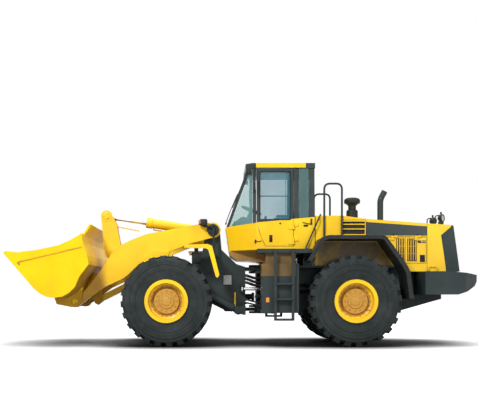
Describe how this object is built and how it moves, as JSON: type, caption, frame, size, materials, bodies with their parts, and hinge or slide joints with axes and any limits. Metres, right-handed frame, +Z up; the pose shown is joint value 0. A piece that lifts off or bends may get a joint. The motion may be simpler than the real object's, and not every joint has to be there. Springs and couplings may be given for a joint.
{
  "type": "wheel loader",
  "caption": "Articulated wheel loader with glazed cab, rear engine hood, lift arms, bellcrank linkage and a wide earth-moving bucket.",
  "frame": {"origin": "on the ground below the middle of the overall box", "axes": "the machine faces -X, its left side is -Y, +Z is up"},
  "size_m": [8.562, 2.96, 3.39],
  "materials": {
    "black_plastic": "matte",
    "bright_rod": "polished",
    "cab_glass": "tinted",
    "dark_paint": "satin enamel",
    "engine_iron": "as cast",
    "seat_cloth": "woven",
    "tyre_rubber": "matte",
    "worn_steel": "worn",
    "yellow_paint": "gloss enamel"
  },
  "bodies": {
    "rear_body": {"rear_frame": "dark_paint", "rear_deck": "dark_paint", "counterweight": "dark_paint", "engine_block": "engine_iron", "transmission": "dark_paint", "rear_axle": "dark_paint", "hood": "yellow_paint", "rear_grille": "dark_paint", "exhaust_pipe": "dark_paint", "air_cleaner": "black_plastic", "rear_fenders": "black_plastic", "side_tanks": "dark_paint", "side_platforms": "dark_paint", "ladders": "dark_paint", "handrails": "dark_paint", "rear_lamps": "black_plastic", "cab_base": "yellow_paint", "cab_pillars": "dark_paint", "cab_roof": "yellow_paint", "cab_glass": "cab_glass", "mirrors": "black_plastic", "operator_seat": "seat_cloth", "steering_column": "black_plastic"},
    "front_body": {"front_frame": "dark_paint", "front_axle": "dark_paint", "front_fenders": "yellow_paint", "head_lamps": "black_plastic", "front_drive_shaft": "dark_paint"},
    "cab_door": {"cab_door": "yellow_paint", "door_glass": "cab_glass"},
    "engine_door_left": {"engine_door_left": "yellow_paint"},
    "engine_door_right": {"engine_door_right": "yellow_paint"},
    "boom": {"boom_arms": "yellow_paint", "boom_cross_tube": "yellow_paint"},
    "bucket": {"bucket": "yellow_paint", "bucket_edge": "worn_steel"},
    "bellcrank": {"bellcrank": "yellow_paint"},
    "bucket_link": {"bucket_link": "yellow_paint"},
    "tilt_barrel": {"tilt_barrel": "yellow_paint"},
    "tilt_rod": {"tilt_rod": "bright_rod"},
    "lift_barrels": {"lift_barrels": "yellow_paint"},
    "lift_rods": {"lift_rods": "bright_rod"},
    "steer_barrel_left": {"steer_barrel_left": "dark_paint"},
    "steer_barrel_right": {"steer_barrel_right": "dark_paint"},
    "steer_rod_left": {"steer_rod_left": "bright_rod"},
    "steer_rod_right": {"steer_rod_right": "bright_rod"},
    "wheel_front_left": {"tyre_front_left": "tyre_rubber", "rim_front_left": "yellow_paint"},
    "wheel_front_right": {"tyre_front_right": "tyre_rubber", "rim_front_right": "yellow_paint"},
    "wheel_rear_left": {"tyre_rear_left": "tyre_rubber", "rim_rear_left": "yellow_paint"},
    "wheel_rear_right": {"tyre_rear_right": "tyre_rubber", "rim_rear_right": "yellow_paint"}
  },
  "joints": [
    {"name": "articulation", "type": "hinge", "parent": "rear_body", "child": "front_body", "pos_m": [0.312, 0, 0.82], "axis": [0, 0, 1], "range_deg": [-35, 35]},
    {"name": "boom_lift", "type": "hinge", "parent": "front_body", "child": "boom", "pos_m": [-0.552, 0, 2.151], "axis": [0, 1, 0], "range_deg": [-11.6, 71.9]},
    {"name": "bucket_tilt", "type": "hinge", "parent": "boom", "child": "bucket", "pos_m": [-3.135, 0, 0.812], "axis": [0, -1, 0], "range_deg": [0, 120]},
    {"name": "bellcrank_pivot", "type": "hinge", "parent": "boom", "child": "bellcrank", "pos_m": [-2.47, 0, 1.735], "axis": [0, -1, 0], "range_deg": [-40, 1]},
    {"name": "link_pivot", "type": "hinge", "parent": "bellcrank", "child": "bucket_link", "pos_m": [-2.01, 0, 1.22], "axis": [0, -1, 0], "range_deg": [-1, 11]},
    {"name": "tilt_barrel_pivot", "type": "hinge", "parent": "boom", "child": "tilt_barrel", "pos_m": [-0.552, 0, 2.151], "axis": [0, -1, 0], "range_deg": [-1, 1]},
    {"name": "tilt_rod_slide", "type": "slide", "parent": "tilt_barrel", "child": "tilt_rod", "axis": [-0.9887, 0, 0.15], "range_m": [-0.52, 0.01]},
    {"name": "lift_barrel_pivot", "type": "hinge", "parent": "front_body", "child": "lift_barrels", "pos_m": [-0.08, 0, 0.64], "axis": [0, -1, 0], "range_deg": [-31, 6]},
    {"name": "lift_rod_slide", "type": "slide", "parent": "lift_barrels", "child": "lift_rods", "axis": [-0.8923, 0, 0.4514], "range_m": [-0.18, 1.03]},
    {"name": "steer_barrel_left_pivot", "type": "hinge", "parent": "rear_body", "child": "steer_barrel_left", "pos_m": [1.3, -0.5, 1.05], "axis": [0, 0, 1], "range_deg": [-9, 9]},
    {"name": "steer_rod_left_slide", "type": "slide", "parent": "steer_barrel_left", "child": "steer_rod_left", "axis": [-0.9989, -0.0461, 0], "range_m": [-0.34, 0.34]},
    {"name": "steer_barrel_right_pivot", "type": "hinge", "parent": "rear_body", "child": "steer_barrel_right", "pos_m": [1.3, 0.5, 1.05], "axis": [0, 0, 1], "range_deg": [-9, 9]},
    {"name": "steer_rod_right_slide", "type": "slide", "parent": "steer_barrel_right", "child": "steer_rod_right", "axis": [-0.9989, 0.0461, 0], "range_m": [-0.34, 0.34]},
    {"name": "cab_door_hinge", "type": "hinge", "parent": "rear_body", "child": "cab_door", "pos_m": [0.945, -0.815, 2.1], "axis": [0, 0, 1], "range_deg": [0, 90]},
    {"name": "engine_door_left_hinge", "type": "hinge", "parent": "rear_body", "child": "engine_door_left", "pos_m": [3.04, -0.785, 2.014], "axis": [-1, 0, 0], "range_deg": [0, 60]},
    {"name": "engine_door_right_hinge", "type": "hinge", "parent": "rear_body", "child": "engine_door_right", "pos_m": [3.04, 0.785, 2.014], "axis": [1, 0, 0], "range_deg": [0, 60]},
    {"name": "wheel_front_left_spin", "type": "hinge", "parent": "front_body", "child": "wheel_front_left", "pos_m": [-1.388, -1.11, 0.82], "axis": [0, -1, 0], "continuous": true},
    {"name": "wheel_front_right_spin", "type": "hinge", "parent": "front_body", "child": "wheel_front_right", "pos_m": [-1.388, 1.11, 0.82], "axis": [0, -1, 0], "continuous": true},
    {"name": "wheel_rear_left_spin", "type": "hinge", "parent": "rear_body", "child": "wheel_rear_left", "pos_m": [2.012, -1.11, 0.82], "axis": [0, -1, 0], "continuous": true},
    {"name": "wheel_rear_right_spin", "type": "hinge", "parent": "rear_body", "child": "wheel_rear_right", "pos_m": [2.012, 1.11, 0.82], "axis": [0, -1, 0], "continuous": true}
  ],
  "couplings": [
    {"joint": "bellcrank_pivot", "follows": "bucket_tilt", "ratio": -0.33023},
    {"joint": "link_pivot", "follows": "bucket_tilt", "ratio": 0.082208},
    {"joint": "tilt_barrel_pivot", "follows": "bucket_tilt", "ratio": -0.001333},
    {"joint": "tilt_rod_slide", "follows": "bucket_tilt", "m_per_rad": -0.24128},
    {"joint": "lift_barrel_pivot", "follows": "boom_lift", "ratio": -0.4201},
    {"joint": "lift_rod_slide", "follows": "boom_lift", "m_per_rad": 0.80963},
    {"joint": "steer_barrel_left_pivot", "follows": "articulation", "ratio": 0.23573},
    {"joint": "steer_rod_left_slide", "follows": "articulation", "m_per_rad": -0.53007},
    {"joint": "steer_barrel_right_pivot", "follows": "articulation", "ratio": 0.23573},
    {"joint": "steer_rod_right_slide", "follows": "articulation", "m_per_rad": 0.53007}
  ]
}
